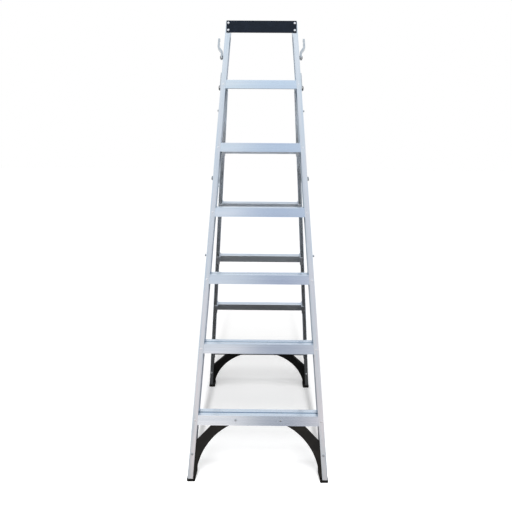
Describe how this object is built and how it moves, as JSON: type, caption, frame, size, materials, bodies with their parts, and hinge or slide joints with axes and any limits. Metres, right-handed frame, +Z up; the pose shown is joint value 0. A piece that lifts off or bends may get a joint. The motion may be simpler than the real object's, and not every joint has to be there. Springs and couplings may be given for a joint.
{
  "type": "combination ladder",
  "caption": "Aluminium combination ladder: a front section with flat treads and a rear section with rungs, hinged near the top, with lock hooks, stays and knee braces.",
  "frame": {"origin": "on the floor, under the middle of the ladder's box", "axes": "+Z up, +X to the right as seen from the front, -Y towards the front, where the treads are climbed"},
  "size_m": [0.6184, 1.2552, 2.0603],
  "materials": {
    "mill_finish_aluminium_extrusion": "drawn mill finish, satin along the length",
    "ribbed_aluminium_tread": "extruded, ribbed on top",
    "ribbed_aluminium_rung": "extruded, ribbed on two faces",
    "cast_aluminium_bracket": "die cast, tumbled",
    "powder_coated_steel": "fine black powder coat",
    "black_polypropylene": "moulded, fine grain",
    "black_rubber_sole": "moulded, matt",
    "zinc_plated_steel": "pressed and zinc plated",
    "aluminium_rivet": "cold headed",
    "black_oxide_steel": "turned, black oxide",
    "black_nylon": "moulded, smooth"
  },
  "bodies": {
    "front_section": {"front_stile_left": "mill_finish_aluminium_extrusion", "front_stile_right": "mill_finish_aluminium_extrusion", "tread_1": "ribbed_aluminium_tread", "tread_2": "ribbed_aluminium_tread", "tread_3": "ribbed_aluminium_tread", "tread_4": "ribbed_aluminium_tread", "tread_5": "ribbed_aluminium_tread", "tread_6": "ribbed_aluminium_tread", "top_brace": "powder_coated_steel", "front_knee_brace_left": "black_polypropylene", "front_knee_brace_right": "black_polypropylene", "front_foot_left": "black_rubber_sole", "front_foot_right": "black_rubber_sole", "hinge_plate_left": "zinc_plated_steel", "hinge_plate_right": "zinc_plated_steel", "stow_studs": "zinc_plated_steel", "stay_pivots": "zinc_plated_steel", "hook_bolts": "zinc_plated_steel", "hook_nuts": "zinc_plated_steel", "tread_rivets": "aluminium_rivet", "top_brace_rivets": "aluminium_rivet", "front_knee_brace_rivets": "aluminium_rivet", "front_foot_rivets": "aluminium_rivet", "hinge_plate_rivets": "aluminium_rivet", "pivot_bolts": "black_oxide_steel", "pivot_nuts": "black_oxide_steel", "pivot_spacers": "black_nylon", "hook_spacers": "black_nylon", "stay_washers": "black_nylon"},
    "rear_section": {"rear_stile_left": "mill_finish_aluminium_extrusion", "rear_stile_right": "mill_finish_aluminium_extrusion", "rung_1": "ribbed_aluminium_rung", "rung_2": "ribbed_aluminium_rung", "rung_3": "ribbed_aluminium_rung", "rung_4": "ribbed_aluminium_rung", "rung_5": "ribbed_aluminium_rung", "rung_brackets": "cast_aluminium_bracket", "rear_knee_brace_left": "black_polypropylene", "rear_knee_brace_right": "black_polypropylene", "rear_knee_brace_rivets": "aluminium_rivet", "rear_foot_left": "black_rubber_sole", "rear_foot_right": "black_rubber_sole", "rear_foot_rivets": "aluminium_rivet", "catch_studs": "zinc_plated_steel", "stay_studs": "zinc_plated_steel"},
    "lock_hook_left": {"lock_hook_left": "zinc_plated_steel"},
    "lock_hook_right": {"lock_hook_right": "zinc_plated_steel"},
    "stay_left": {"stay_left": "zinc_plated_steel"},
    "stay_right": {"stay_right": "zinc_plated_steel"}
  },
  "joints": [
    {"name": "rear_swing", "type": "hinge", "parent": "front_section", "child": "rear_section", "pos_m": [0, 0.05447, 1.74335], "axis": [1, 0, 0], "range_deg": [-34.5, 145.5]},
    {"name": "hook_left_swing", "type": "hinge", "parent": "front_section", "child": "lock_hook_left", "pos_m": [-0.19384, 0.00686, 1.88498], "axis": [-0.9981, 0.0187, 0.0594], "range_deg": [0, 94]},
    {"name": "hook_right_swing", "type": "hinge", "parent": "front_section", "child": "lock_hook_right", "pos_m": [0.19384, 0.00686, 1.88498], "axis": [-0.9981, -0.0187, -0.0594], "range_deg": [0, 94]},
    {"name": "stay_left_swing", "type": "hinge", "parent": "front_section", "child": "stay_left", "pos_m": [-0.22791, -0.17629, 1.3041], "axis": [0.9981, -0.0187, -0.0594], "range_deg": [-3.2, 75]},
    {"name": "stay_right_swing", "type": "hinge", "parent": "front_section", "child": "stay_right", "pos_m": [0.22791, -0.17629, 1.3041], "axis": [0.9981, 0.0187, 0.0594], "range_deg": [-3.2, 75]}
  ]
}
